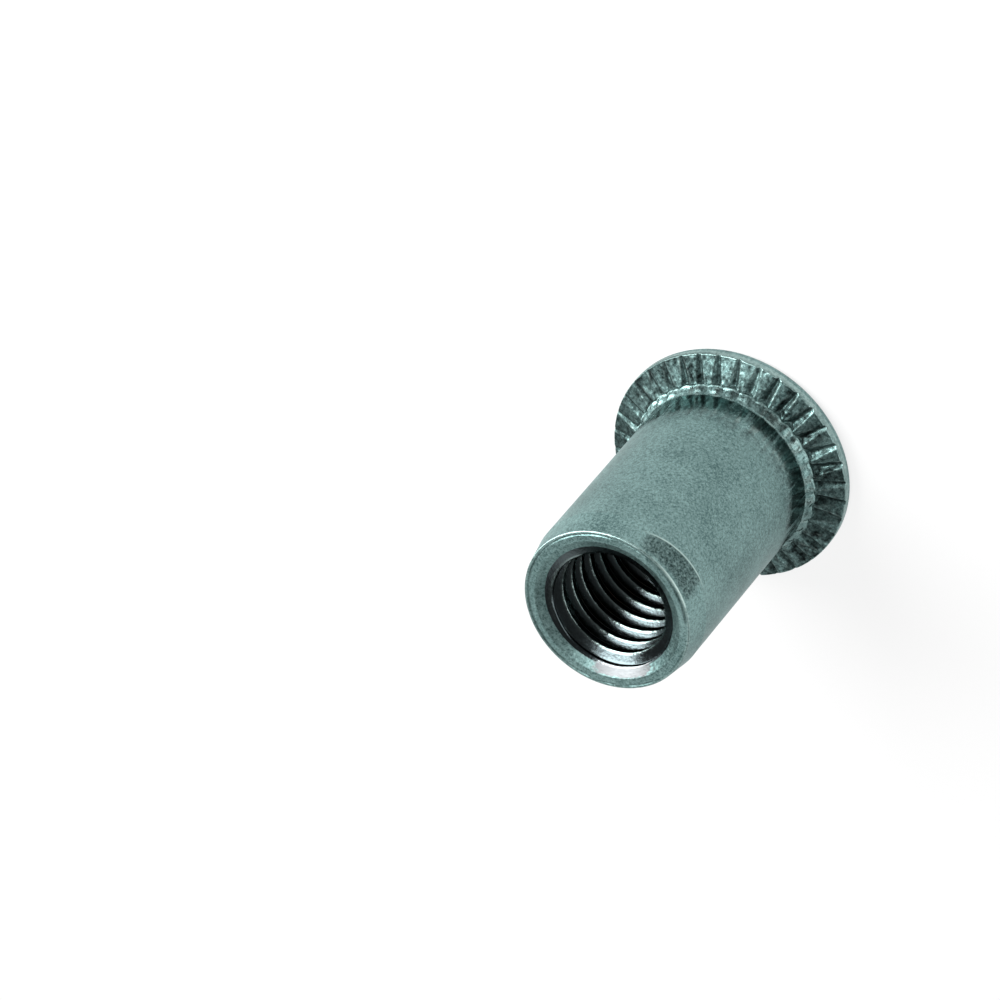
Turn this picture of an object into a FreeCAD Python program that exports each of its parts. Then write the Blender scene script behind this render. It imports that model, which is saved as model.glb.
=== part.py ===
import FreeCAD, Part
import math
import os

# Flat-head blind rivet nut of plated steel, for an M8 screw, as it is before it is set.
# It is one piece: a cold-headed sleeve, bored from the head and tapped at its tail.
# Millimetres. It stands on its head: the outer face of the head is at z = 0, centred on the
# origin, and the axis of the sleeve runs up +Z to the tail.

# Head
HEAD_DIA = 15.1          # over the rim
RIM_HEIGHT = 1.15        # of the rim's inner corner above the outer face
RIM_ROUND = 0.62         # from the outer face into the rim
RIM_BREAK = 0.08         # broken corner between the rim and the serrated side
SIDE_RISE = 0.65         # how much thicker the head is at the collar than at the rim
COLLAR_WIDTH = 0.30      # of the cone between the serrated side and the shank
COLLAR_HEIGHT = 0.40

# Grooves pressed into the side of the head that bites the sheet
SERRATIONS = 36
GROOVE_DEPTH_INNER = 0.40   # below the ridges, at the collar
GROOVE_DEPTH_OUTER = 0.14   # below the ridges, at the rim
GROOVE_FLAT = 0.12          # width of the bottom
FLANK_ANGLE = 43.0          # of the sides, from upright
PRESS_CLEARANCE = 0.05      # how far the pressing tool's teeth reach above the ridges
LOBE_RADIUS = 0.60          # the collar stands out in a lobe at the inner end of each groove
LOBE_REACH = 0.06           # past the collar's own foot

# Shank and tail
SHANK_DIA = 11.0
LENGTH = 18.2
TAIL_LENGTH = 1.7        # tapered end of the shank
TAIL_DROP = 0.25         # how much smaller its radius is at the tail face
TAIL_BREAK = 0.12        # broken corner of the tail face

# Bore, from the head to the tail
SLEEVE_WALL = 0.75       # thin-walled length that folds when the nut is set
MOUTH_STEP = 0.18        # how much wider the radius is just inside the head
MOUTH_DEPTH = 0.85
MOUTH_BREAK = 0.12       # broken edge at the outer face
THREADED_LENGTH = 9.0    # from the tail face, with the countersink
THREAD_WALL_DIA = 6.8    # plain wall that the screw thread is cut in
LEAD_ANGLE = 45.0        # of the cone between the two bores, from the axis
TAIL_FACE_WIDTH = 0.65   # flat ring round the countersink
SINK_ANGLE = 60.0        # of the countersink, from the axis

NODE = "rivet_nut"
AXIS = FreeCAD.Vector(0, 0, 1)
ORIGIN = FreeCAD.Vector(0, 0, 0)

# Radii and heights that follow
HEAD = HEAD_DIA / 2
SHANK = SHANK_DIA / 2
WALL = THREAD_WALL_DIA / 2
SLEEVE = SHANK - SLEEVE_WALL
MOUTH = SLEEVE + MOUTH_STEP
COLLAR_FOOT = SHANK + COLLAR_WIDTH
SIDE_TOP = RIM_HEIGHT + SIDE_RISE
TAIL = SHANK - TAIL_DROP
SINK = TAIL - TAIL_FACE_WIDTH


def at(radius, height):
    """Point of the section, in the half plane y = 0."""
    return FreeCAD.Vector(radius, 0, height)


def outline(steps):
    """Closed wire through the steps in turn. A step of two points is an arc, by its middle and end."""
    edges = []
    here = steps[-1]
    for step in steps:
        if isinstance(step, tuple):
            middle, end = step
            edges.append(Part.Arc(here, middle, end).toShape())
        else:
            end = step
            edges.append(Part.LineSegment(here, end).toShape())
        here = end
    return Part.Wire(edges)


def blank():
    """The sleeve with its head and bores, before the grooves are pressed."""
    lead = (SLEEVE - WALL) / math.tan(math.radians(LEAD_ANGLE))
    sink = (SINK - WALL) / math.tan(math.radians(SINK_ANGLE))
    round_middle = RIM_ROUND * (1 - math.sqrt(0.5))
    steps = [
        at(MOUTH + MOUTH_BREAK, 0),
        at(HEAD - RIM_ROUND, 0),
        (at(HEAD - round_middle, round_middle), at(HEAD, RIM_ROUND)),
        at(HEAD, RIM_HEIGHT - RIM_BREAK),
        at(HEAD - RIM_BREAK, RIM_HEIGHT),
        at(COLLAR_FOOT, SIDE_TOP),
        at(SHANK, SIDE_TOP + COLLAR_HEIGHT),
        at(SHANK, LENGTH - TAIL_LENGTH),
        at(TAIL, LENGTH - TAIL_BREAK),
        at(TAIL - TAIL_BREAK, LENGTH),
        at(SINK, LENGTH),
        at(WALL, LENGTH - sink),
        at(WALL, LENGTH - THREADED_LENGTH),
        at(SLEEVE, LENGTH - THREADED_LENGTH - lead),
        at(SLEEVE, MOUTH_DEPTH),
        at(MOUTH, MOUTH_DEPTH),
        at(MOUTH, MOUTH_BREAK),
    ]
    return Part.Face(outline(steps)).revolve(ORIGIN, AXIS, 360)


def outward_share(radius):
    """How far a radius lies from the collar's foot, 0, to the rim's inner corner, 1."""
    return (radius - COLLAR_FOOT) / (HEAD - RIM_BREAK - COLLAR_FOOT)


def groove_section(radius):
    """Corners of a groove cutter's section, whose flanks run on a little above the ridges."""
    share = outward_share(radius)
    ridge = SIDE_TOP - share * SIDE_RISE
    depth = GROOVE_DEPTH_INNER + share * (GROOVE_DEPTH_OUTER - GROOVE_DEPTH_INNER)
    floor = ridge - depth
    top = ridge + PRESS_CLEARANCE
    half_floor = GROOVE_FLAT / 2
    half_top = half_floor + (top - floor) * math.tan(math.radians(FLANK_ANGLE))
    return [
        FreeCAD.Vector(radius, -half_floor, floor),
        FreeCAD.Vector(radius, half_floor, floor),
        FreeCAD.Vector(radius, half_top, top),
        FreeCAD.Vector(radius, -half_top, top),
    ]


def bar_between(near, far):
    """Solid with flat sides from one section to another of as many corners."""
    faces = [Part.Face(Part.makePolygon(ring + ring[:1])) for ring in (near, far)]
    for this in range(len(near)):
        after = (this + 1) % len(near)
        side = [near[this], near[after], far[after], far[this], near[this]]
        faces.append(Part.Face(Part.makePolygon(side)))
    return Part.Solid(Part.Shell(faces))


def groove_cutter():
    """One groove, from the lobe of the collar out past the rim."""
    wedge = bar_between(groove_section(COLLAR_FOOT), groove_section(HEAD + RIM_BREAK))
    lobe_foot = at(COLLAR_FOOT + LOBE_REACH - LOBE_RADIUS, 0)
    lobe = Part.makeCylinder(LOBE_RADIUS, SIDE_TOP + COLLAR_HEIGHT, lobe_foot, AXIS)
    return wedge.cut(lobe)


def with_grooves(body):
    """The body with the ring of grooves in the inner side of its head."""
    cutter = groove_cutter()
    cutters = []
    for number in range(SERRATIONS):
        turned = cutter.copy()
        turned.rotate(ORIGIN, AXIS, 360.0 * number / SERRATIONS)
        cutters.append(turned)
    return body.cut(cutters)


def build():
    os.makedirs("parts", exist_ok=True)
    nut = with_grooves(blank()).Solids[0]
    nut.exportStep(os.path.join("parts", NODE + ".step"))


build()
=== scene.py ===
import math
from types import SimpleNamespace

import bmesh
import bpy
from mathutils import Matrix, Vector


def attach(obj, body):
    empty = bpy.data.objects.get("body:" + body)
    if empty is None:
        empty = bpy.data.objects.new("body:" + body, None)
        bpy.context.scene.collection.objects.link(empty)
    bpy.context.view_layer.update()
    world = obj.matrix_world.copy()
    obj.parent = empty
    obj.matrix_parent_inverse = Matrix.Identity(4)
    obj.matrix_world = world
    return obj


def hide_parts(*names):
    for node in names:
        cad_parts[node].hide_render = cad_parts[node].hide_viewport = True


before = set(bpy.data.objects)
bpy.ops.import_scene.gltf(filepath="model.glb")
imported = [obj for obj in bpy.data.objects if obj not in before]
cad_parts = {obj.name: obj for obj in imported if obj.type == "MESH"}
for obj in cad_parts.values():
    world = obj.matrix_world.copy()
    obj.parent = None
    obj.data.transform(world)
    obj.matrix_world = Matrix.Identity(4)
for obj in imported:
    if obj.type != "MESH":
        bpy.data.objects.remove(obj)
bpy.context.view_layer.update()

MM = 0.001
FULL_TURN = 2 * math.pi

# The nut's own sizes, in millimetres, as its solid has them. The first are radii.
HEAD = 7.55
SHANK = 5.5
SLEEVE = 4.75
MOUTH = 4.93
TAIL = 5.25
SINK = 4.6
THREAD_MINOR = 3.4
THREAD_MAJOR = 4.0
COLLAR_FOOT = 5.8
RIM_HEIGHT = 1.15
RIM_ROUND = 0.62
RIM_BREAK = 0.08
SIDE_TOP = 1.8
TAPER_START = 16.5
LIP_ROUND = 0.08
LENGTH = 18.2
MOUTH_DEPTH = 0.85
MOUTH_BREAK = 0.12
THREADED_LENGTH = 9.0
SINK_SLOPE = math.tan(math.radians(60))     # radius by height

# The pressed grooves and the collar that they end at
SERRATIONS = 36
GROOVE_DEPTH_INNER = 0.40
GROOVE_DEPTH_OUTER = 0.14
GROOVE_FLAT = 0.12
FLANK_ANGLE = 43.0
RIDGE_ROUND = 0.04
LOBE_REACH = 0.05        # of the crest past the collar's foot, at the middle of a groove
LOBE_SAG = 0.10          # back from there to the cusp between two lobes
SHELTER_TOP = 5.3        # up to here the shank stands in the corner of the head
SHELTER_FADE = 1.1       # length over which that ends

# The screw thread
PITCH = 1.25
ROOT_FLAT = PITCH / 8
FLANK_SLOPE = math.sqrt(3)
CREST_EDGE = ROOT_FLAT / 2 + (THREAD_MAJOR - THREAD_MINOR) / FLANK_SLOPE
THREAD_TOP = 17.885      # just past its first turn, in the countersink
THREAD_END = 8.44        # just past its last turn, in the lead
FIRST_ROOT = 17.807      # height of the middle of a root at angle 0
VISIBLE_TURNS = 5        # that are seen through the tail, and get more columns

# Columns of faces round the nut, and how many of them share one place on each part
COLUMNS = 720
FINE = 1
PLAIN = 2
MEDIUM = 3
COARSE = 4


class Formula:
    """A value in a node tree that is written as a number is."""

    def __init__(self, tree, socket):
        self.tree = tree
        self.socket = socket

    def math(self, operation, *others):
        node = self.tree.nodes.new("ShaderNodeMath")
        node.operation = operation
        for slot, value in zip(node.inputs, (self, *others)):
            feed(self.tree, slot, value)
        return Formula(self.tree, node.outputs[0])

    def __add__(self, other):
        return self.math("ADD", other)

    def __sub__(self, other):
        return self.math("SUBTRACT", other)

    def __mul__(self, other):
        return self.math("MULTIPLY", other)

    def __truediv__(self, other):
        return self.math("DIVIDE", other)

    __radd__ = __add__

    def __rsub__(self, other):
        return (self * -1) + other

    def at_least(self, other):
        return self.math("MAXIMUM", other)

    def at_most(self, other, blend=0.0):
        return self.math("SMOOTH_MIN", other, blend) if blend else self.math("MINIMUM", other)

    def within(self, low, high):
        return self.at_least(low).at_most(high)

    def __gt__(self, other):
        return self.math("GREATER_THAN", other)

    def near(self, other, reach):
        """1 at another value, falling to 0 a reach away."""
        return (1 - (self - other).math("ABSOLUTE") / reach).at_least(0.0)


def feed(tree, slot, value):
    """Gives a node's input a formula, a socket or a plain number."""
    if isinstance(value, Formula):
        tree.links.new(value.socket, slot)
    elif isinstance(value, bpy.types.NodeSocket):
        tree.links.new(value, slot)
    else:
        slot.default_value = value


def place(tree, kind, settings=None, **inputs):
    """A new node, with its settings and with its inputs by name."""
    node = tree.nodes.new(kind)
    for name, value in (settings or {}).items():
        setattr(node, name, value)
    for name, value in inputs.items():
        feed(tree, node.inputs[name.replace("_", " ")], value)
    return node


def split(tree, vector):
    """The three parts of a vector, by their letters."""
    parts = place(tree, "ShaderNodeSeparateXYZ", Vector=vector).outputs
    return {letter: Formula(tree, parts[letter]) for letter in "XYZ"}


def scaled(tree, vector, share):
    """A place brought nearer or farther, or a colour made darker or lighter."""
    node = place(tree, "ShaderNodeVectorMath", {"operation": "SCALE"}, Vector=vector, Scale=share)
    return node.outputs[0]


def noise(tree, vector, scale, layers):
    """Smooth noise round zero."""
    node = place(tree, "ShaderNodeTexNoise", Vector=vector, Scale=scale, Detail=layers)
    return Formula(tree, node.outputs["Fac"]) - 0.5


# The section of the nut. Two stations lie close to each corner, so that it stays crisp.

# worn marks edges that are worn and that also get painted highlights
MARKS = ("pressed", "scallop", "threaded", "worn", "sheltered", "scored")

RIM_WEAR_AND_HIGHLIGHT = 0.4
RIM_SIDE = ((0.72, 0, PLAIN), (0.86, 0, FINE), (1.0, 1, FINE))     # height, pressed, step
RIM_CORNER = ((0.003, 1.095, 0.1), (0.016, 1.125, 0.4),
              (0.040, 1.144, 0.1))                                 # inwards, height, wear and painted highlight
SIDE_RINGS = 21
RING_CROWDING = 1.08     # above 1 the rings lie closer together at the rim
LOBE_EDGE = ((5.850, 1.740, 0.0), (5.855, 1.790, 0.1), (5.842, 1.825, 0.2),
             (5.808, 1.860, 0.1))                                  # radius, height, wear and painted highlight
COLLAR_SIDE = ((5.770, 1.920, 1.0, 0.6), (5.725, 2.000, 1.0, 0.6), (5.680, 2.080, 0.9, 0.5),
               (5.630, 2.160, 0.6, 0.4), (5.575, 2.240, 0.4, 0.4),
               (5.530, 2.320, 0.2, 0.5))                # radius, height, scallop, sheltered
SHANK_FOOT = ((5.508, 2.42, 0.8), (5.501, 2.52, 1.0))              # radius, height, sheltered
SHELTERED_HEIGHTS = [tenths / 10 for tenths in range(26, 54, 3)]
LIP_WEAR_AND_HIGHLIGHT = 0.35
SCORED_LINE = ((5.10, 0), (5.06, 1), (5.02, 1), (4.98, 0))         # radius, scored


class Station:
    """One point of the section, with what the turning makes of it."""

    def __init__(self, radius, height, step=PLAIN, **marks):
        self.radius = radius
        self.height = height
        self.step = step
        self.marks = marks


def arc(centre, radius, start, end, pieces, **marks):
    """Stations along an arc of the section, by its angles in degrees."""
    found = []
    for number in range(pieces + 1):
        angle = math.radians(start + (end - start) * number / pieces)
        found.append(Station(centre[0] + radius * math.cos(angle),
                             centre[1] + radius * math.sin(angle), **marks))
    return found


def run(start, end, spacing, **marks):
    """Stations inside a straight run, evenly spaced, with one close to each end."""
    length = math.dist(start, end)
    close = min(0.05, length / 4) / length
    count = max(1, round(length / spacing))
    inner = [close + (1 - 2 * close) * number / count for number in range(1, count)]
    return [Station(start[0] + (end[0] - start[0]) * share,
                    start[1] + (end[1] - start[1]) * share, **marks)
            for share in [close, *inner, 1 - close]]


def side_height(radius):
    """Height of the ridges at a radius of the serrated side."""
    corner = HEAD - RIM_BREAK
    return RIM_HEIGHT + (SIDE_TOP - RIM_HEIGHT) * (corner - radius) / (corner - COLLAR_FOOT)


def shelter(height):
    """How much a height of the shank stands in the corner of the head."""
    return max(0.0, min(1.0, (SHELTER_TOP - height) / SHELTER_FADE))


def head_stations():
    """From the mouth over the outer face and the rim to the rim's inner corner."""
    mouth = arc((MOUTH + MOUTH_BREAK, MOUTH_BREAK), MOUTH_BREAK, 180, 270, pieces=4)
    face = run((MOUTH + MOUTH_BREAK, 0), (HEAD - RIM_ROUND, 0), spacing=0.5)
    rim = arc((HEAD - RIM_ROUND, RIM_ROUND), RIM_ROUND, -90, 0, pieces=12)
    upright = [Station(HEAD, height, step, pressed=pressed, worn=RIM_WEAR_AND_HIGHLIGHT)
               for height, pressed, step in RIM_SIDE]
    corner = [Station(HEAD - inwards, height, FINE, pressed=1, worn=worn)
              for inwards, height, worn in RIM_CORNER]
    return mouth + face + rim + upright + corner


def side_stations():
    """The serrated side, from the rim in to the lobes' edge and up the collar."""
    outer = HEAD - RIM_BREAK + 0.01
    inner = COLLAR_FOOT + 0.06
    side = []
    for number in range(SIDE_RINGS + 1):
        share = (number / SIDE_RINGS) ** RING_CROWDING
        radius = outer + (inner - outer) * share
        side.append(Station(radius, side_height(radius), FINE, pressed=1, scallop=share ** 3))
    lobes = [Station(radius, height, FINE, scallop=1, worn=worn)
             for radius, height, worn in LOBE_EDGE]
    collar = [Station(radius, height, FINE, scallop=scallop, sheltered=sheltered)
              for radius, height, scallop, sheltered in COLLAR_SIDE]
    return side + lobes + collar


def shank_stations():
    """Up the shank and over its tapered end to the tail face."""
    foot = [Station(radius, height, sheltered=sheltered)
            for radius, height, sheltered in SHANK_FOOT]
    corner = [Station(SHANK, height, COARSE, sheltered=shelter(height))
              for height in SHELTERED_HEIGHTS]
    shank = run((SHANK, SHELTER_TOP), (SHANK, TAPER_START - 0.06), spacing=0.8, step=COARSE)
    shoulder = [Station(SHANK, TAPER_START - 0.03), Station(SHANK - 0.004, TAPER_START),
                Station(SHANK - 0.02, TAPER_START + 0.05)]
    taper = run((SHANK - 0.02, TAPER_START + 0.05), (TAIL, LENGTH - LIP_ROUND), spacing=0.3)
    lip = arc((TAIL - LIP_ROUND, LENGTH - LIP_ROUND), LIP_ROUND, 9, 90, pieces=5, worn=LIP_WEAR_AND_HIGHLIGHT)
    line = [Station(radius, LENGTH, scored=scored) for radius, scored in SCORED_LINE]
    face = run((4.96, LENGTH), (SINK + 0.04, LENGTH), spacing=0.12)
    return foot + corner + shank + shoulder + taper + lip + line + face


def cone_at(height):
    """Radius of the bore's cones, the countersink's or the lead's, at a height."""
    sink = SINK - (LENGTH - height) * SINK_SLOPE
    lead = THREAD_MINOR + (LENGTH - THREADED_LENGTH) - height
    return max(sink, lead, THREAD_MINOR)


def thread_shares():
    """Where the rows lie in one turn of the thread: two at each edge, and some between them."""
    close = 0.012
    root = ROOT_FLAT / 2 / PITCH
    crest = CREST_EDGE / PITCH
    flank = [root + further for further in (0.07, 0.14, 0.21)]
    half = [root - close, root + close, *flank, crest - close, crest + close, crest + 0.08]
    return sorted([0.0, 0.5] + half + [1 - share for share in half])


def thread_stations():
    """The rows of the thread from the countersink to the lead. Each climbs a pitch in its turn."""
    stations = []
    turns = math.ceil((THREAD_TOP - THREAD_END) / PITCH) + 2
    for turn in range(-1, turns):
        for share in thread_shares():
            height = FIRST_ROOT - (turn + share) * PITCH
            step = MEDIUM if turn < VISIBLE_TURNS else COARSE
            if THREAD_END - PITCH - 0.1 < height < THREAD_TOP + 0.1:
                stations.append(Station(THREAD_MINOR, height, step, threaded=1))
    return stations


def bore_stations():
    """From the tail face down the countersink, the thread and the lead to the sleeve's bore."""
    edge = [Station(SINK + 0.015, LENGTH - 0.001), Station(SINK - 0.015, LENGTH - 0.014)]
    sink = run((cone_at(LENGTH - 0.02), LENGTH - 0.02), (cone_at(THREAD_TOP), THREAD_TOP),
               spacing=0.1)
    lead_foot = LENGTH - THREADED_LENGTH - (SLEEVE - THREAD_MINOR)
    lead = run((cone_at(THREAD_END), THREAD_END), (SLEEVE, lead_foot), spacing=0.2, step=COARSE)
    sleeve = run((SLEEVE, lead_foot - 0.03), (SLEEVE, MOUTH_DEPTH + 0.02), spacing=0.8,
                 step=COARSE)
    ledge = [Station(SLEEVE + 0.01, MOUTH_DEPTH), Station(SLEEVE + 0.05, MOUTH_DEPTH - 0.005),
             Station(MOUTH - 0.05, MOUTH_DEPTH - 0.005), Station(MOUTH - 0.01, MOUTH_DEPTH - 0.02)]
    mouth = run((MOUTH, MOUTH_DEPTH - 0.05), (MOUTH, MOUTH_BREAK + 0.04), spacing=0.3)
    return edge + sink + thread_stations() + lead + sleeve + ledge + mouth


def nut_section():
    """The closed section as a chain of points, which the tree then turns."""
    stations = head_stations() + side_stations() + shank_stations() + bore_stations()
    mesh = bpy.data.meshes.new("rivet_nut_section")
    mesh.from_pydata([(s.radius, 0, s.height) for s in stations],
                     [(n, n + 1) for n in range(len(stations) - 1)], [])
    steps = mesh.attributes.new("step", "INT", "POINT")
    steps.data.foreach_set("value", [s.step for s in stations])
    for mark in MARKS:
        values = mesh.attributes.new(mark, "FLOAT", "POINT")
        values.data.foreach_set("value", [float(s.marks.get(mark, 0)) for s in stations])
    return mesh, len(stations)


# Turning, pressing and tapping

SIZES = {
    "Head": HEAD,
    "Rim Break": RIM_BREAK,
    "Collar Foot": COLLAR_FOOT,
    "Side Top": SIDE_TOP,
    "Rim Height": RIM_HEIGHT,
    "Serrations": SERRATIONS,
    "Depth Inner": GROOVE_DEPTH_INNER,
    "Depth Outer": GROOVE_DEPTH_OUTER,
    "Groove Flat": GROOVE_FLAT,
    "Groove Slope": 1 / math.tan(math.radians(FLANK_ANGLE)),
    "Lobe Reach": LOBE_REACH,
    "Lobe Sag": LOBE_SAG,
    "Ragged Collar": 0.20,
    "Uneven Collar": 0.14,
    "Uneven Spacing": 0.035,
    "Uneven Depth": 1.1,
    "Press Lean": 0.3,
    "Press Side": 0.4,
    "Hammered": 0.17,
    "Scored Depth": 0.11,
    "Dents": 0.03,
    "Pitch": PITCH,
    "Thread Minor": THREAD_MINOR,
    "Thread Major": THREAD_MAJOR,
    "Root Flat": ROOT_FLAT,
    "Flank Slope": FLANK_SLOPE,
    "Crest Edge": CREST_EDGE,
    "Burr": 0.16,
    "Thread Top": THREAD_TOP,
    "Thread End": THREAD_END,
    "First Root": FIRST_ROOT,
    "Sink": SINK,
    "Sink Slope": SINK_SLOPE,
    "Tail Face": LENGTH,
    "Lead Apex": LENGTH - THREADED_LENGTH + THREAD_MINOR,
    "Seed": 4.0,
}

# Noises that make the forms uneven, each by its scale and layers
SPACING_ROUND = (5.0, 1.0)
SPACING_OVER = (0.9, 1.0)
DEPTH_ROUND = (9.0, 1.0)
COLLAR_RAGGED = (1.6, 2.0)
COLLAR_RAISED = (1.1, 2.0)
HAMMER_MARKS = (2.6, 3.0)
EDGE_WEAR_AND_HIGHLIGHT = (1.3, 2.0)
BURRS = (6.0, 1.0)
SCORING = (0.35, 2.0)
DENTING = (0.55, 2.0)

OVER_SHARE = 0.4         # of the spacing's noise over the surface, by that round the nut
DEPTH_SEED = 7           # added to the seed, so that depth and spacing vary apart
EDGE_REACH = 0.05        # how far to each side an edge is worn and painted highlit
WEAR_AND_HIGHLIGHT_CONTRAST = 2.5
WEAR_AND_HIGHLIGHT_EVEN = 0.1
MOST_WEAR_AND_HIGHLIGHT = 0.5
CREST_WEAR_AND_HIGHLIGHT = 0.6
SCORE_CONTRAST = 3
SCORE_EVEN = 0.4
SCORE_HOLLOW = 2         # how hollow the full line counts
WELD = 2e-6              # points closer than this, in metres, become one


def sampled(tree, section, index, kind, value):
    """What the section has at a station."""
    node = place(tree, "GeometryNodeSampleIndex", {"data_type": kind, "domain": "POINT"},
                 Geometry=section, Value=value, Index=index)
    return node.outputs["Value"]


def marked(tree, section, index, name, kind="FLOAT"):
    """A mark of the section's stations, by name."""
    named = place(tree, "GeometryNodeInputNamedAttribute", {"data_type": kind}, Name=name)
    return Formula(tree, sampled(tree, section, index, kind, named.outputs["Attribute"]))


def direction(tree, angle, radius, height):
    """The place at an angle, a radius and a height."""
    node = place(tree, "ShaderNodeCombineXYZ", X=angle.math("COSINE") * radius,
                 Y=angle.math("SINE") * radius, Z=height)
    return node.outputs[0]


def tree_with_inputs():
    """A tree with an input for the section, for each size and for the finish."""
    tree = bpy.data.node_groups.new("turned_nut", "GeometryNodeTree")
    kinds = {"Section": "NodeSocketGeometry", "Stations": "NodeSocketInt",
             "Columns": "NodeSocketInt", **dict.fromkeys(SIZES, "NodeSocketFloat"),
             "Finish": "NodeSocketMaterial"}
    for name, kind in kinds.items():
        tree.interface.new_socket(name, in_out="INPUT", socket_type=kind)
    tree.interface.new_socket("Nut", in_out="OUTPUT", socket_type="NodeSocketGeometry")
    return tree


def flat_grid(tree, size):
    """A flat grid with a row for each station, and the column and the station of its points."""
    grid = place(tree, "GeometryNodeMeshGrid", Size_X=size["Columns"], Size_Y=size["Stations"],
                 Vertices_X=size["Columns"] + 1, Vertices_Y=size["Stations"] + 1)
    spot = split(tree, tree.nodes.new("GeometryNodeInputPosition").outputs[0])
    column = (spot["X"] + size["Columns"] / 2).math("ROUND")
    ring = (spot["Y"] + size["Stations"] / 2).math("ROUND")
    return grid.outputs["Mesh"], column, ring.math("MODULO", size["Stations"])


def read_section(tree, section, index):
    """Radius, height, step and marks of a station."""
    here = tree.nodes.new("GeometryNodeInputPosition").outputs[0]
    point = split(tree, sampled(tree, section, index, "FLOAT_VECTOR", here))
    step = marked(tree, section, index, "step", "INT")
    mark = {name: marked(tree, section, index, name) for name in MARKS}
    return point["X"], point["Z"], step, mark


def turned_nut_tree():
    """Turns the section, presses the ring of grooves into it and cuts the thread."""
    tree = tree_with_inputs()
    given = tree.nodes.new("NodeGroupInput").outputs
    size = {name: Formula(tree, given[name]) for name in [*SIZES, "Stations", "Columns"]}
    shape, column, index = flat_grid(tree, size)
    radius, height, step, mark = read_section(tree, given["Section"], index)
    angle = (column / step).math("FLOOR") * step * FULL_TURN / size["Columns"]

    radius, height, groove, ridge_edge = press_grooves(tree, size, angle, radius, height, mark)
    radius, height, cut, crest_edge = cut_thread(tree, size, angle, radius, height,
                                                 mark["threaded"])
    height, score = score_line(tree, size, angle, radius, height, mark["scored"])
    spot = dented_place(tree, size, angle, radius, height, mark)

    # The marks are kept while each point still lies at its column and ring of the flat grid.
    kept = {"pressed": mark["pressed"], "threaded": mark["threaded"],
            "sheltered": mark["sheltered"],
            "worn": (mark["worn"] + ridge_edge + crest_edge * CREST_WEAR_AND_HIGHLIGHT).at_most(1.0),
            "hollow": groove + cut + score}
    for name, value in kept.items():
        shape = place(tree, "GeometryNodeStoreNamedAttribute",
                      {"data_type": "FLOAT", "domain": "POINT"},
                      Geometry=shape, Name=name, Value=value).outputs[0]
    shape = place(tree, "GeometryNodeSetPosition", Geometry=shape, Position=spot).outputs[0]
    shape = place(tree, "GeometryNodeMergeByDistance", Geometry=shape, Distance=WELD).outputs[0]
    shape = place(tree, "GeometryNodeSetShadeSmooth", Geometry=shape,
                  Shade_Smooth=True).outputs[0]
    shape = place(tree, "GeometryNodeRealizeInstances", Geometry=shape).outputs[0]
    shape = place(tree, "GeometryNodeSetMaterial", Geometry=shape,
                  Material=given["Finish"]).outputs[0]
    feed(tree, tree.nodes.new("NodeGroupOutput").inputs["Nut"], shape)
    return tree


def uneven_collar(tree, size, spot, radius, height, scallop, off_centre):
    """The collar's radius and height with its lobes, ragged as the press leaves them."""
    lobe = size["Lobe Reach"] - size["Lobe Sag"] * (off_centre * 2).math("POWER", 2.0)
    ragged = noise(tree, spot, *COLLAR_RAGGED) * size["Ragged Collar"]
    radius = radius + scallop * (lobe + ragged)
    height = height + scallop * noise(tree, spot, *COLLAR_RAISED) * size["Uneven Collar"]
    return radius, height


def groove_depth(tree, size, angle, share):
    """Depth of a groove at a share of its way out. The press leans to one side."""
    round_place = direction(tree, angle, 1.0, size["Seed"] + DEPTH_SEED)
    uneven = noise(tree, round_place, *DEPTH_ROUND) * size["Uneven Depth"]
    lean = (angle - size["Press Side"]).math("COSINE") * size["Press Lean"]
    depth = size["Depth Inner"] + share * (size["Depth Outer"] - size["Depth Inner"])
    return depth * (1 - size["Press Lean"] / 2 + lean + uneven)


def press_grooves(tree, size, angle, radius, height, mark):
    """The side's radius and height with grooves, their depth and where they are worn and painted
    highlit.
    """
    pressed = mark["pressed"]
    round_place = direction(tree, angle, 1.0, size["Seed"])
    spot = direction(tree, angle, radius, height)
    drift = noise(tree, round_place, *SPACING_ROUND) + noise(tree, spot, *SPACING_OVER) * OVER_SHARE
    turns = (angle + drift * size["Uneven Spacing"]) * size["Serrations"] / FULL_TURN
    off_centre = (turns - turns.math("ROUND")).math("ABSOLUTE")
    radius, height = uneven_collar(tree, size, spot, radius, height, mark["scallop"], off_centre)

    width = size["Head"] - size["Rim Break"] - size["Collar Foot"]
    share = (radius - size["Collar Foot"]) / width
    ridge = size["Side Top"] - share * (size["Side Top"] - size["Rim Height"])
    depth = groove_depth(tree, size, angle, share)
    across = radius * off_centre * FULL_TURN / size["Serrations"]
    flank = (across - size["Groove Flat"] / 2).at_least(0.0) * size["Groove Slope"]
    groove = ridge - depth + flank
    hammered = noise(tree, spot, *HAMMER_MARKS) * size["Hammered"]
    lowered = height.at_most(groove, RIDGE_ROUND) + hammered.at_most(0.0)
    deep = pressed * ((ridge - lowered) / depth).within(0, 1)
    uneven_wear_and_highlight = (noise(tree, spot, *EDGE_WEAR_AND_HIGHLIGHT) * WEAR_AND_HIGHLIGHT_CONTRAST + WEAR_AND_HIGHLIGHT_EVEN).within(0, MOST_WEAR_AND_HIGHLIGHT)
    edge = pressed * groove.near(height, EDGE_REACH) * uneven_wear_and_highlight
    return radius, height + pressed * (lowered - height), deep, edge


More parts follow.
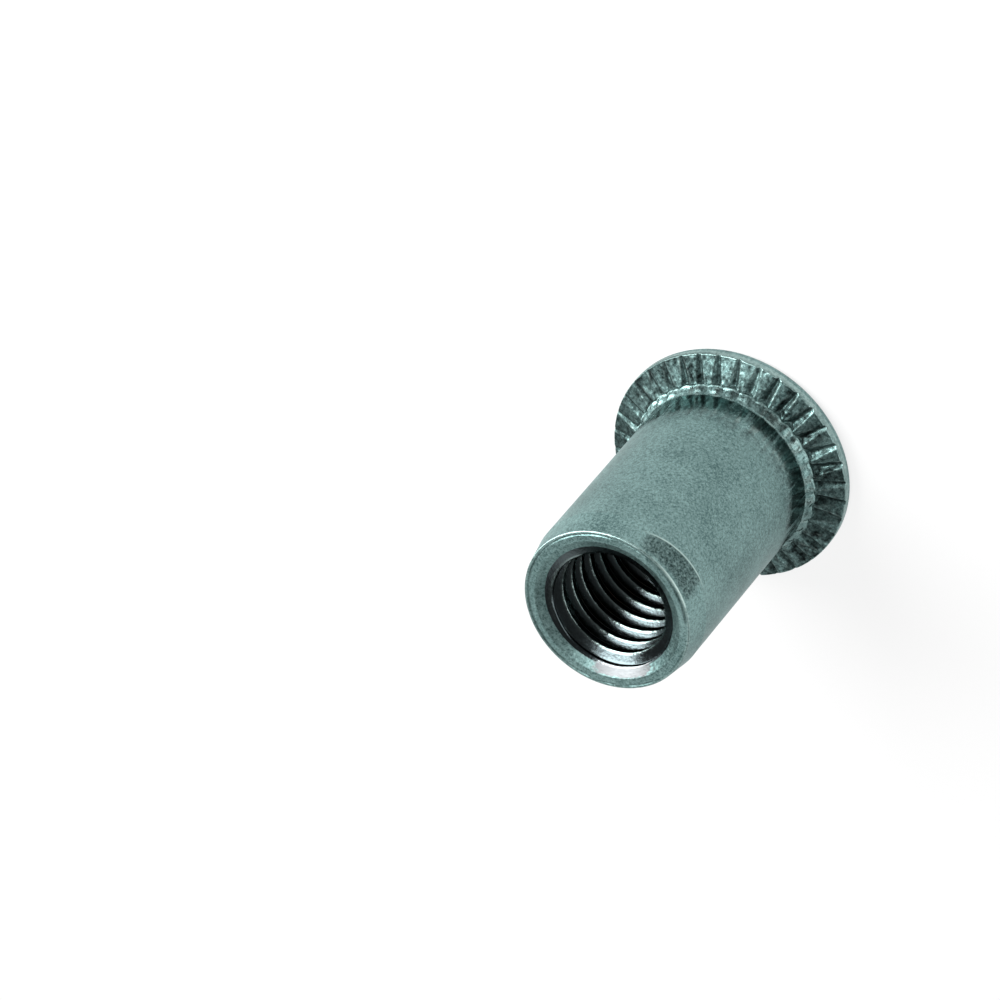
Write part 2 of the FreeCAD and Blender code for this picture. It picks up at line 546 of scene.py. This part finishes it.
def cut_thread(tree, size, angle, radius, height, threaded):
    """The bore's radius and height with the thread, how deep it is and where its crests end."""
    climb = angle * size["Pitch"] / FULL_TURN
    wound = (height + climb).within(size["Thread End"], size["Thread Top"])
    turns = (wound - climb - size["First Root"]) / size["Pitch"]
    off_root = (turns - turns.math("ROUND")).math("ABSOLUTE") * size["Pitch"]
    slope = (off_root - size["Root Flat"] / 2).at_least(0.0) * size["Flank Slope"]
    flank = size["Thread Major"] - slope
    sink = size["Sink"] - (size["Tail Face"] - wound) * size["Sink Slope"]
    cones = sink.at_least(size["Lead Apex"] - wound)
    deepest = flank.at_least(size["Thread Minor"]).at_least(cones)
    deep = (deepest - size["Thread Minor"]) / (size["Thread Major"] - size["Thread Minor"])
    edge = threaded * off_root.near(size["Crest Edge"], EDGE_REACH) * (1 - deep.within(0, 1))
    torn = noise(tree, direction(tree, angle, deepest, wound), *BURRS).at_least(0.0)
    deepest = deepest - edge * torn * size["Burr"]
    return (radius + threaded * (deepest - radius), height + threaded * (wound - height),
            threaded * deep.within(0, 1), edge)


def score_line(tree, size, angle, radius, height, scored):
    """The tail face's height with the scored line in it, and how hollow the line is."""
    round_place = direction(tree, angle, radius, size["Seed"])
    share = (noise(tree, round_place, *SCORING) * SCORE_CONTRAST + SCORE_EVEN).within(0, 1)
    return height - scored * size["Scored Depth"] * share, scored * share * SCORE_HOLLOW


def dented_place(tree, size, angle, radius, height, mark):
    """Where a point of the nut ends up, in metres, with slight dents where it is plain."""
    spot = direction(tree, angle, radius, height)
    plain = (1 - mark["threaded"]) * (1 - mark["pressed"])
    dent = noise(tree, spot, *DENTING).at_least(0.0) * size["Dents"] * plain
    return scaled(tree, direction(tree, angle, radius - dent, height), MM)


def turned_nut(finish):
    """The whole nut as one closed mesh."""
    mesh, stations = nut_section()
    blank = bpy.data.objects.new("section", mesh)
    bpy.context.scene.collection.objects.link(blank)
    tree = turned_nut_tree()
    modifier = blank.modifiers.new("turned_nut", "NODES")
    modifier.node_group = tree
    values = {**SIZES, "Stations": stations, "Columns": COLUMNS, "Finish": finish}
    for item in tree.interface.items_tree:
        if item.in_out == "INPUT" and item.name in values:
            value = values[item.name]
            measured = item.socket_type == "NodeSocketFloat"
            modifier[item.identifier] = float(value) if measured else value
    bpy.context.view_layer.update()
    ready = blank.evaluated_get(bpy.context.evaluated_depsgraph_get())
    turned = bpy.data.meshes.new_from_object(ready)
    blank.modifiers.remove(modifier)
    bpy.data.objects.remove(blank)
    shell = bmesh.new()
    shell.from_mesh(turned)
    bmesh.ops.recalc_face_normals(shell, faces=shell.faces)
    shell.to_mesh(turned)
    shell.free()
    turned.name = "dressed_rivet_nut"
    nut = bpy.data.objects.new("dressed_rivet_nut", turned)
    bpy.context.scene.collection.objects.link(nut)
    return nut


# Finish

PLATING_DARK = (0.071, 0.134, 0.131, 1)
PLATING_LIGHT = (0.275, 0.42, 0.408, 1)
# Tapped steel, made far darker than bare steel: partly painted shade in the bore
SHADED_TAPPED_STEEL = (0.055, 0.065, 0.07, 1)
BARE_STEEL = (0.16, 0.17, 0.175, 1)
# Paler colour of worn edges, which also serves as painted highlights on edges
WORN_AND_HIGHLIT_EDGE = (0.50, 0.65, 0.62, 1)
GRAZING_TINT = (0.8, 0.82, 0.82, 1)

# Marks that the nut's mesh keeps, and patterns, each by the scale and layers of its noise
KEPT_MARKS = ("worn", "threaded", "pressed", "sheltered", "hollow")
PATTERNS = {"speckle": (6.0, 3.0), "grain": (14.0, 2.0), "cloud": (0.4, 3.0),
            "ragged": (1.1, 3.0), "mottle": (3.2, 3.0)}
STREAKS = (2.2, 2.0)
STREAK_RADIUS = 6.0
STREAK_DRAW = 0.12               # how little the streaks change along the shank

# Sums of an even amount and of patterns, each with its share
TONE = {"speckle": 1.7, "grain": 1.8, "cloud": 0.8, "even": 0.5}
CORNER_SHADE = {"even": 0.25, "streak": 1.8, "mottle": 1.4}
SIDE_SHADE = {"even": 0.51, "streak": 1.2, "mottle": 1.8}
PATCH_DARKENING = {"even": 0.5, "speckle": -1.0, "grain": -0.8}
EDGE_SHINE = {"even": 0.75, "ragged": 1.5, "speckle": 1.5}
FOOT_REFLECTION_STREAKS = {"streak": 7.0, "even": -0.2}
ROUGHNESS = {"even": 0.42, "speckle": 0.25, "cloud": 0.1}
SIDE_ROUGHNESS = {"even": 0.12, "mottle": 0.9}
CORNER_POLISH = {"even": 0.26, "streak": 0.9}
RELIEF = {"speckle": 1.0, "grain": 0.6}

# Limits of those sums, and how much a mark on the nut counts
DARKEST = 0.05
MOST_PATCH_DARKENING = 0.9
MOST_FOOT_REFLECTION_STREAKS = 0.36
SMOOTHEST = 0.12
ROUGHEST = 0.8
HOLLOW_SHADE = 0.3
PAINTED_SIDE_SHADE = 0.5
SHADED_SIDE_SHINE_LOSS = 0.6                  # of the painted shine of worn edges
SHADED_SIDE_ROUGHNESS = 0.15
THREAD_DARKENING = 0.9
THREAD_POLISH = 0.24
EDGE_POLISH = 0.1
CORNER_SMOOTHING = 0.8
SIDE_RELIEF = 4
EDGE_RELIEF = 2
RELIEF_HEIGHT = 0.03
RELIEF_STRENGTH = 0.3

# The dark patch on the tapered end, with a pale line along its foot that is a painted highlight
PATCH_ANGLES = (1.01, 1.76)
PATCH_HEIGHTS = (16.2, 17.95)
PATCH_SIDES = {"angle": 1.0, "ragged": 0.2}
PATCH_ENDS = {"height": 1.0, "ragged": 0.4}
PATCH_HIGHLIGHT_WIDTH = 0.08                # width of the line

# The bare patch in the countersink, by its angles and its reach from the axis
SCUFF_ANGLES = (-1.12, -0.28)
SCUFF_REACH = (3.95, 4.55)
SCUFF_SIDES = {"angle": 1.0, "ragged": 0.6, "speckle": 0.4}
SCUFF_ENDS = {"reach": 1.0, "mottle": 0.3}
SCUFF_FOOT = THREAD_TOP - 0.1

# A painted highlight along a length of the tail's lip
LIP_HIGHLIGHT_ANGLES = (0.98, 1.45)
LIP_HIGHLIGHT_ENDS = {"angle": 1.0, "ragged": 0.1}

STREAK_TOP = 4.2                 # up to here the shank's foot has pale streaks, painted reflections
STREAK_FADE = 0.6
SHADED_SIDE_START = 4.4                 # the serrated side gets painted shade and grows rougher past this far along -X
SHADED_SIDE_REACH = 2.6
PRESSED_START = 0.02             # how far inside the rim the pressed finish starts
PRESSED_FADE = 0.04              # how much further in it is full


def smooth_window(value, low, high, soft):
    """1 between two limits, falling softly to 0 outside them."""
    above = ((value - low) / soft + 0.5).within(0, 1)
    return above * ((high - value) / soft + 0.5).within(0, 1)


def blended(tree, share, first, second):
    """One colour passing into another."""
    node = place(tree, "ShaderNodeMix", {"data_type": "RGBA"})
    feed(tree, node.inputs["Factor"], share)
    colours = [slot for slot in node.inputs if slot.type == "RGBA"]
    feed(tree, colours[0], first)
    feed(tree, colours[1], second)
    return next(slot for slot in node.outputs if slot.type == "RGBA")


def new_material(name):
    """A material, its tree of nodes and the input that its surface goes to."""
    material = bpy.data.materials.new(name)
    material.use_nodes = True
    tree = material.node_tree
    tree.nodes.clear()
    return material, tree, tree.nodes.new("ShaderNodeOutputMaterial").inputs["Surface"]


def surface_facts(tree):
    """Where a point of the nut lies, what was done to it and the patterns there, by name."""
    position = place(tree, "ShaderNodeMapping", Scale=(1 / MM, 1 / MM, 1 / MM),
                     Vector=tree.nodes.new("ShaderNodeTexCoord").outputs["Object"]).outputs[0]
    spot = split(tree, position)
    at = SimpleNamespace(height=spot["Z"], angle=spot["Y"].math("ARCTAN2", spot["X"]))
    at.reach = (spot["X"].math("POWER", 2.0) + spot["Y"].math("POWER", 2.0)).math("SQRT")
    for name in KEPT_MARKS:
        mark = place(tree, "ShaderNodeAttribute", {"attribute_name": name})
        setattr(at, name, Formula(tree, mark.outputs["Fac"]))
    for name, pattern in PATTERNS.items():
        setattr(at, name, noise(tree, position, *pattern))
    drawn_out = direction(tree, at.angle, STREAK_RADIUS, (at.height - at.reach) * STREAK_DRAW)
    at.streak = noise(tree, drawn_out, *STREAKS)
    # Painted shade: the pressed side is made darker, and also rougher, towards -X
    at.dull = ((spot["X"] * -1 - SHADED_SIDE_START) / SHADED_SIDE_REACH).within(0, 1) * at.pressed
    at.pressed = at.pressed * ((HEAD - PRESSED_START - at.reach) / PRESSED_FADE).within(0, 1)
    return at


def mixed(at, shares):
    """A sum as the tables give it: each part with its share, and the even amount as it is."""
    return sum(share if name == "even" else getattr(at, name) * share
               for name, share in shares.items())


def dark_patch(at):
    """The dark patch on the tapered end, and the pale line along its foot, a painted highlight."""
    bowed = at.height - (at.angle - PATCH_ANGLES[0]).math("POWER", 2.0)
    sides = smooth_window(mixed(at, PATCH_SIDES), *PATCH_ANGLES, soft=0.08)
    ends = smooth_window(mixed(at, PATCH_ENDS), *PATCH_HEIGHTS, soft=0.3)
    along = smooth_window(at.angle, *PATCH_ANGLES, soft=0.25)
    line = along * bowed.near(PATCH_HEIGHTS[0] - PATCH_HIGHLIGHT_WIDTH / 2, PATCH_HIGHLIGHT_WIDTH)
    return sides * (bowed > PATCH_HEIGHTS[0]) * ends, line


def scuff(at):
    """The bare patch in the countersink."""
    sides = smooth_window(mixed(at, SCUFF_SIDES), *SCUFF_ANGLES, soft=0.1)
    ends = smooth_window(mixed(at, SCUFF_ENDS), *SCUFF_REACH, soft=0.1)
    return sides * (at.height > SCUFF_FOOT) * ends


def lip_highlight(at):
    """A painted highlight along a length of the tail's lip."""
    lip = (at.height > LENGTH - LIP_ROUND) * (at.reach > TAIL - LIP_ROUND)
    return lip * smooth_window(mixed(at, LIP_HIGHLIGHT_ENDS), *LIP_HIGHLIGHT_ANGLES, soft=0.2)


def surface_colour(tree, at):
    """Plating with painted shade in corners, grooves and the thread, and bright where it is worn
    and painted highlit.
    """
    patched, patch_highlight = dark_patch(at)
    plating = place(tree, "ShaderNodeValToRGB", Fac=mixed(at, TONE).within(0, 1))
    plating.color_ramp.elements[0].color = PLATING_DARK
    plating.color_ramp.elements[1].color = PLATING_LIGHT
    # Painted shade: darker in the corner under the head and in hollows, then over the pressed side
    shade = (1 - at.sheltered * mixed(at, CORNER_SHADE)) * (1 - at.hollow * HOLLOW_SHADE)
    shade = shade * (1 - at.pressed * mixed(at, SIDE_SHADE)) * (1 - at.dull * PAINTED_SIDE_SHADE)
    shade = shade * (1 - patched * mixed(at, PATCH_DARKENING).within(0, MOST_PATCH_DARKENING))
    colour = scaled(tree, plating.outputs["Color"], shade.at_least(DARKEST))
    # The thread takes the dark tapped steel, which is partly painted shade in the bore
    colour = blended(tree, at.threaded * THREAD_DARKENING, colour, SHADED_TAPPED_STEEL)
    # Painted highlights: worn edges, the patch's pale line and a length of the lip are made
    # brighter in colour
    bright = at.worn * mixed(at, EDGE_SHINE) * (1 - at.dull * SHADED_SIDE_SHINE_LOSS) + patch_highlight + lip_highlight(at)
    # Painted reflections: pale streaks on the shank's foot next to the head
    foot = at.sheltered * ((STREAK_TOP - at.height) / STREAK_FADE).within(0, 1)
    bright = bright + foot * mixed(at, FOOT_REFLECTION_STREAKS).within(0, MOST_FOOT_REFLECTION_STREAKS)
    colour = blended(tree, bright.within(0, 1), colour, WORN_AND_HIGHLIT_EDGE)
    return blended(tree, scuff(at), colour, BARE_STEEL)


def surface_roughness(at):
    """Rougher on the pressed side, smoother in the thread, in the corner and on worn edges."""
    rough = mixed(at, ROUGHNESS) - at.threaded * THREAD_POLISH
    rough = rough + at.pressed * mixed(at, SIDE_ROUGHNESS) + at.dull * SHADED_SIDE_ROUGHNESS
    rough = rough - at.sheltered * mixed(at, CORNER_POLISH) - at.worn * EDGE_POLISH
    return rough.within(SMOOTHEST, ROUGHEST)


def surface_relief(at):
    """A fine grain, with hammered mottles on the pressed side."""
    relief = mixed(at, RELIEF) * (1 - at.sheltered * CORNER_SMOOTHING)
    return relief + at.pressed * at.mottle * SIDE_RELIEF + at.worn * at.grain * EDGE_RELIEF


def plated_steel():
    """Dull grey-green plating with a fine speckle."""
    material, tree, surface = new_material("plated_steel")
    steel = place(tree, "ShaderNodeBsdfPrincipled", Metallic=1.0, Specular_Tint=GRAZING_TINT)
    feed(tree, surface, steel.outputs[0])
    at = surface_facts(tree)
    feed(tree, steel.inputs["Base Color"], surface_colour(tree, at))
    feed(tree, steel.inputs["Roughness"], surface_roughness(at))
    bump = place(tree, "ShaderNodeBump", Height=surface_relief(at), Strength=RELIEF_STRENGTH,
                 Distance=RELIEF_HEIGHT * MM)
    feed(tree, steel.inputs["Normal"], bump.outputs[0])
    return material


WHITE = (1, 1, 1, 1)
MATT_WHITE = (0.8, 0.8, 0.8, 1)
FLOOR_GLOW = 0.85                # share of the floor's white that the camera and the metal see


def paper():
    """A floor that looks white to the camera and in the metal, except in the nut's own shade."""
    material, tree, surface = new_material("white_floor")
    matt = place(tree, "ShaderNodeBsdfDiffuse", Color=MATT_WHITE)
    glow = place(tree, "ShaderNodeEmission", Color=WHITE, Strength=1.0)
    rays = tree.nodes.new("ShaderNodeLightPath").outputs
    mirrored, through, straight = (
        Formula(tree, rays[name])
        for name in ("Is Glossy Ray", "Is Transmission Ray", "Is Camera Ray"))
    seen = mirrored.at_least(through).at_least(straight) * FLOOR_GLOW
    position = tree.nodes.new("ShaderNodeTexCoord").outputs["Object"]
    away = place(tree, "ShaderNodeVectorMath", {"operation": "LENGTH"}, Vector=position)
    away = Formula(tree, away.outputs["Value"]) / MM
    clear = ((away - SHANK) / (HEAD - SHANK)).within(0, 1)
    both = place(tree, "ShaderNodeMixShader", Fac=seen * clear)
    feed(tree, both.inputs[1], matt.outputs[0])
    feed(tree, both.inputs[2], glow.outputs[0])
    feed(tree, surface, both.outputs[0])
    return material


# Setting. Its distances are in metres.

FLOOR_HALF = 0.6
SKY_STRENGTH = 0.14
SENSOR_WIDTH = 36.0
LENS = 6.412                     # focal length, by the sensor's width
NEAREST = 0.01
FARTHEST = 5.0

# Each lamp's name, direction from the nut, long side, distance, width and height, and power
LAMPS = (
    ("left", (-0.761, 0.139, 0.652), (-0.339, -0.825, -0.453), 0.16, (0.112, 0.120), 0.58),
    ("left_low", (-1.117, -0.462, 0.176), (-0.339, -0.825, -0.453), 0.19, (0.16, 0.072), 0.45),
    ("back", (0.309, -0.721, 0.618), (1, 0, 0), 0.16, (0.14, 0.14), 0.065),
    ("right", (0.70, 0.58, 0.40), (-0.64, 0.77, 0), 0.20, (0.22, 0.13), 0.18),
)


def add_floor():
    """A wide plain sheet that the nut stands on."""
    mesh = bpy.data.meshes.new("floor")
    half = FLOOR_HALF
    corners = [(-half, -half, 0), (half, -half, 0), (half, half, 0), (-half, half, 0)]
    mesh.from_pydata(corners, [], [(0, 1, 2, 3)])
    mesh.materials.append(paper())
    floor = bpy.data.objects.new("floor", mesh)
    bpy.context.scene.collection.objects.link(floor)


def add_lamp(name, toward, along, distance, size, power):
    """A soft lamp that shines on the nut from a direction, with its width along another."""
    lamp = bpy.data.lights.new(name, "AREA")
    lamp.shape = "RECTANGLE"
    lamp.size, lamp.size_y = size
    lamp.energy = power
    holder = bpy.data.objects.new(name, lamp)
    bpy.context.scene.collection.objects.link(holder)
    way = Vector(toward).normalized()
    side = Vector(along)
    side = (side - way * side.dot(way)).normalized()
    turn = Matrix((side, way.cross(side), way)).transposed().to_4x4()
    middle = Vector((0, 0, LENGTH / 2 * MM))
    holder.matrix_world = Matrix.Translation(middle + way * distance) @ turn


def add_camera():
    """Looks from the tail side, rolled so that the nut seems to lie down."""
    camera = bpy.data.cameras.new("camera")
    camera.sensor_width = SENSOR_WIDTH
    camera.lens = LENS * SENSOR_WIDTH
    camera.clip_start = NEAREST
    camera.clip_end = FARTHEST
    holder = bpy.data.objects.new("camera", camera)
    right = (0.74557, 0.50081, -0.43968)
    up = (-0.66643, 0.56028, -0.49190)
    back = (0.0, 0.65976, 0.75148)
    spot = (-0.008797, 0.243807, 0.294897)
    rows = [[right[n], up[n], back[n], spot[n]] for n in range(3)]
    holder.matrix_world = Matrix(rows + [[0, 0, 0, 1]])
    bpy.context.scene.collection.objects.link(holder)
    bpy.context.scene.camera = holder


def add_world():
    """A dim even sky, so that the lamps and the floor shape the metal."""
    world = bpy.data.worlds.new("studio")
    world.use_nodes = True
    sky = world.node_tree.nodes["Background"]
    sky.inputs["Color"].default_value = WHITE
    sky.inputs["Strength"].default_value = SKY_STRENGTH
    bpy.context.scene.world = world


nut = turned_nut(plated_steel())
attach(nut, "root")
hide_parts("rivet_nut")
add_floor()
add_world()
for lamp in LAMPS:
    add_lamp(*lamp)
add_camera()
bpy.context.scene.view_settings.view_transform = "Standard"
